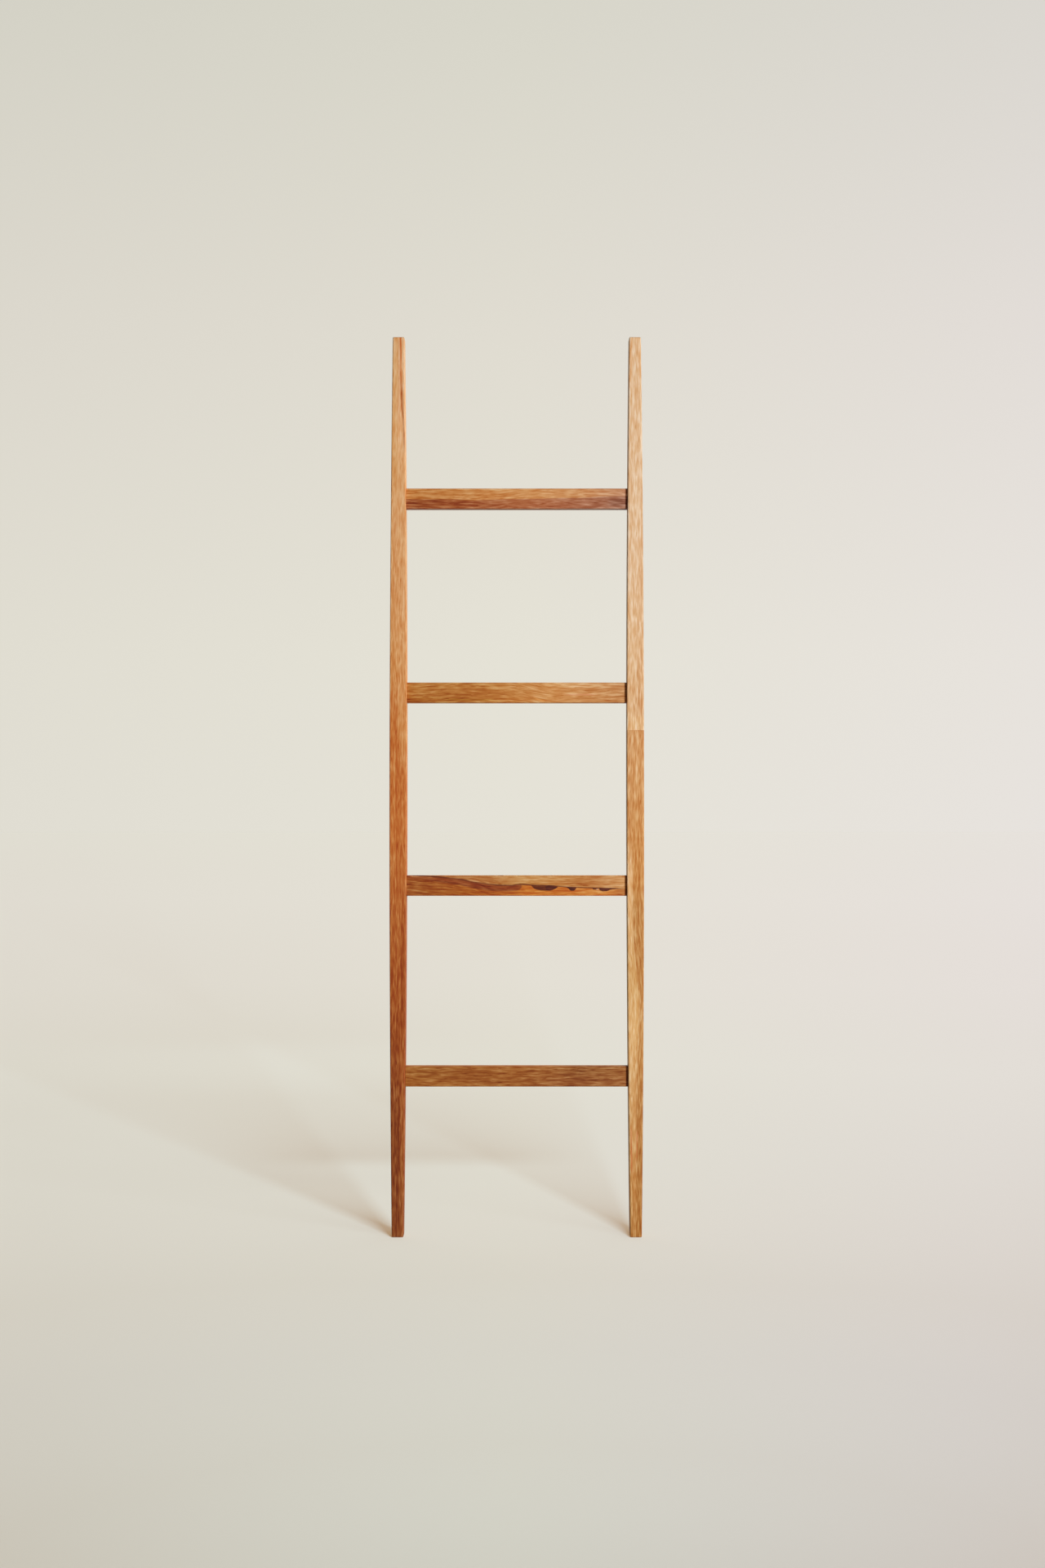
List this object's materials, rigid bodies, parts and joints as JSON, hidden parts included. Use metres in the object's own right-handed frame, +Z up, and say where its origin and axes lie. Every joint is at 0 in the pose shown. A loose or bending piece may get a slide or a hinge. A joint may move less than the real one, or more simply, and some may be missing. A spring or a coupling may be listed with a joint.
{
  "type": "blanket ladder",
  "caption": "Tall wooden leaning ladder for hanging blankets: slim rails that taper to both ends, and flat rungs joined to them by hidden dowels.",
  "frame": {"origin": "on the floor, midway between the two feet and midway through the depth of the rails", "axes": "+Z up along the rails, +X to the right seen from the front, +Y towards the wall behind it"},
  "size_m": [0.4809, 0.035, 1.7],
  "materials": {
    "left_rail": "oiled hardwood, satin, with straight grain along the board",
    "right_rail_lower": "oiled hardwood, satin, with straight grain along the board",
    "right_rail_upper": "oiled hardwood, satin, with straight grain along the board",
    "rung_1": "oiled hardwood, satin, with straight grain along the board",
    "rung_2": "oiled hardwood, satin, with straight grain along the board",
    "rung_3": "oiled hardwood, satin, with straight grain along the board",
    "rung_4": "oiled hardwood, satin, with straight grain along the board",
    "dowel": "bare fluted beech"
  },
  "bodies": {
    "root": {"left_rail": "left_rail", "right_rail_lower": "right_rail_lower", "right_rail_upper": "right_rail_upper", "rung_1": "rung_1", "rung_2": "rung_2", "rung_3": "rung_3", "rung_4": "rung_4", "rung_1_dowel_left_lower": "dowel", "rung_1_dowel_left_upper": "dowel", "rung_1_dowel_right_lower": "dowel", "rung_1_dowel_right_upper": "dowel", "rung_2_dowel_left_lower": "dowel", "rung_2_dowel_left_upper": "dowel", "rung_2_dowel_right_lower": "dowel", "rung_2_dowel_right_upper": "dowel", "rung_3_dowel_left_lower": "dowel", "rung_3_dowel_left_upper": "dowel", "rung_3_dowel_right_lower": "dowel", "rung_3_dowel_right_upper": "dowel", "rung_4_dowel_left_lower": "dowel", "rung_4_dowel_left_upper": "dowel", "rung_4_dowel_right_lower": "dowel", "rung_4_dowel_right_upper": "dowel"}
  },
  "joints": []
}
